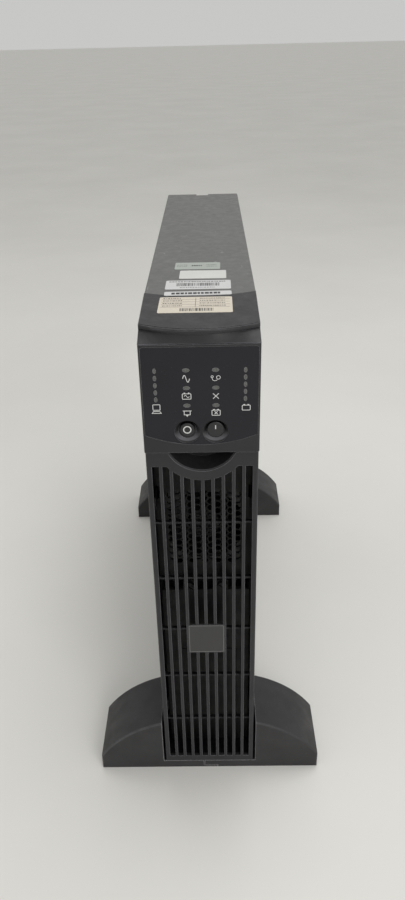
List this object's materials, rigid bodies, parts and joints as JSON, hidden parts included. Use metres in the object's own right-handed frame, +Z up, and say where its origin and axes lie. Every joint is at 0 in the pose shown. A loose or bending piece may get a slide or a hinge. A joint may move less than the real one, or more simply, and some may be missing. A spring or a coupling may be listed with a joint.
{
  "type": "rackmount uninterruptible power supply",
  "caption": "Rack or tower uninterruptible power supply standing upright in split feet, with a slotted front bezel, a control panel and pull-out battery cartridges.",
  "frame": {"origin": "on the floor under the middle of the whole object's box", "axes": "+Z up, the front with the control panel faces -Y, +X to the right seen from the front"},
  "size_m": [0.2046, 0.483, 0.4412],
  "materials": {
    "case_paint": "satin fine-texture powder coat, mid grey, dusty",
    "front_plastic": "fine-textured moulded plastic, dark grey",
    "foot_plastic": "fine-textured moulded plastic, near black",
    "membrane_film": "semi-gloss printed film",
    "badge": "satin badge",
    "button_plastic": "satin moulded plastic",
    "light_lens": "unlit light pipe",
    "black_steel": "black powder coat",
    "zinc_steel": "zinc-plated sheet",
    "screw_steel": "bright zinc-plated fasteners",
    "circuit_board": "green solder mask",
    "battery_case": "battery case plastic",
    "connector_plastic": "black connector plastic",
    "fan_plastic": "glass-filled fan plastic",
    "guard_wire": "nickel-plated wire",
    "heatsink_metal": "extruded aluminium",
    "capacitor_sleeve": "shrink sleeve",
    "winding": "enamelled copper winding and core",
    "relay_plastic": "relay case",
    "label_paper": "printed stickers, one silver"
  },
  "bodies": {
    "tower": {"outer_cover": "case_paint", "chassis_tray": "case_paint", "rear_panel": "case_paint", "cover_screws": "screw_steel", "front_frame": "front_plastic", "front_bulkhead": "black_steel", "battery_sockets": "connector_plastic", "bay_shelves": "zinc_steel", "intake_fan_frame": "fan_plastic", "exhaust_fan_frame": "fan_plastic", "fan_guard": "guard_wire", "fan_screws": "screw_steel", "main_board": "circuit_board", "board_standoffs": "screw_steel", "heatsinks": "heatsink_metal", "power_transistors": "connector_plastic", "bus_capacitors": "capacitor_sleeve", "charger_transformer": "winding", "output_inductor": "winding", "relays": "relay_plastic", "emi_filter": "zinc_steel", "accessory_cage": "zinc_steel", "serial_port": "zinc_steel", "emergency_off_terminal": "connector_plastic", "external_battery_connector": "connector_plastic", "power_inlet": "connector_plastic", "output_outlets": "connector_plastic", "circuit_breaker": "connector_plastic", "ground_screw": "screw_steel", "front_left_foot": "foot_plastic", "front_right_foot": "foot_plastic", "rear_left_foot": "foot_plastic", "rear_right_foot": "foot_plastic", "top_labels": "label_paper"},
    "control_panel": {"control_panel_housing": "front_plastic", "panel_membrane": "membrane_film", "level_lights": "light_lens", "status_lights": "light_lens", "display_board": "circuit_board", "display_board_screws": "screw_steel", "panel_switches": "connector_plastic"},
    "off_switch": {"off_button": "button_plastic"},
    "on_switch": {"on_button": "button_plastic"},
    "front_bezel": {"grille_bezel": "front_plastic", "badge_plate": "badge"},
    "battery_access_door": {"battery_door": "black_steel", "door_screws": "black_steel"},
    "lower_cartridge": {"lower_cartridge_tray": "zinc_steel", "lower_cartridge_blocks": "battery_case", "lower_cartridge_handle": "connector_plastic", "lower_cartridge_plug": "connector_plastic"},
    "upper_cartridge": {"upper_cartridge_tray": "zinc_steel", "upper_cartridge_blocks": "battery_case", "upper_cartridge_handle": "connector_plastic", "upper_cartridge_plug": "connector_plastic"},
    "intake_rotor": {"intake_fan_rotor": "fan_plastic"},
    "exhaust_rotor": {"exhaust_fan_rotor": "fan_plastic"},
    "accessory_plate": {"accessory_cover": "case_paint", "accessory_thumbscrews": "screw_steel"},
    "breaker_plunger": {"breaker_reset_button": "button_plastic"}
  },
  "joints": [
    {"name": "control_panel_pull", "type": "slide", "parent": "tower", "child": "control_panel", "axis": [0, -1, 0], "range_m": [0, 0.06]},
    {"name": "off_button_press", "type": "slide", "parent": "control_panel", "child": "off_switch", "axis": [0, 1, 0], "range_m": [0, 0.0015], "stiffness_N_per_m": 800},
    {"name": "on_button_press", "type": "slide", "parent": "control_panel", "child": "on_switch", "axis": [0, 1, 0], "range_m": [0, 0.0015], "stiffness_N_per_m": 800},
    {"name": "lower_cartridge_pull", "type": "slide", "parent": "tower", "child": "lower_cartridge", "axis": [0, -1, 0], "range_m": [0, 0.44]},
    {"name": "upper_cartridge_pull", "type": "slide", "parent": "tower", "child": "upper_cartridge", "axis": [0, -1, 0], "range_m": [0, 0.44]},
    {"name": "battery_door_pull", "type": "slide", "parent": "tower", "child": "battery_access_door", "axis": [0, -1, 0], "range_m": [0, 0.495]},
    {"name": "front_bezel_pull", "type": "slide", "parent": "tower", "child": "front_bezel", "axis": [0, -1, 0], "range_m": [0, 0.55]},
    {"name": "intake_fan_spin", "type": "hinge", "parent": "tower", "child": "intake_rotor", "pos_m": [0, -0.1945, 0.258], "axis": [0, 1, 0], "continuous": true},
    {"name": "exhaust_fan_spin", "type": "hinge", "parent": "tower", "child": "exhaust_rotor", "pos_m": [0, 0.2205, 0.392], "axis": [0, 1, 0], "continuous": true},
    {"name": "accessory_cover_pull", "type": "slide", "parent": "tower", "child": "accessory_plate", "axis": [0, 1, 0], "range_m": [0, 0.1]},
    {"name": "breaker_reset_press", "type": "slide", "parent": "tower", "child": "breaker_plunger", "axis": [0, -1, 0], "range_m": [0, 0.003], "stiffness_N_per_m": 1500}
  ],
  "couplings": [
    {"joint": "upper_cartridge_pull", "follows": "lower_cartridge_pull", "ratio": 1},
    {"joint": "battery_door_pull", "follows": "lower_cartridge_pull", "ratio": 1.125},
    {"joint": "front_bezel_pull", "follows": "lower_cartridge_pull", "ratio": 1.25}
  ]
}
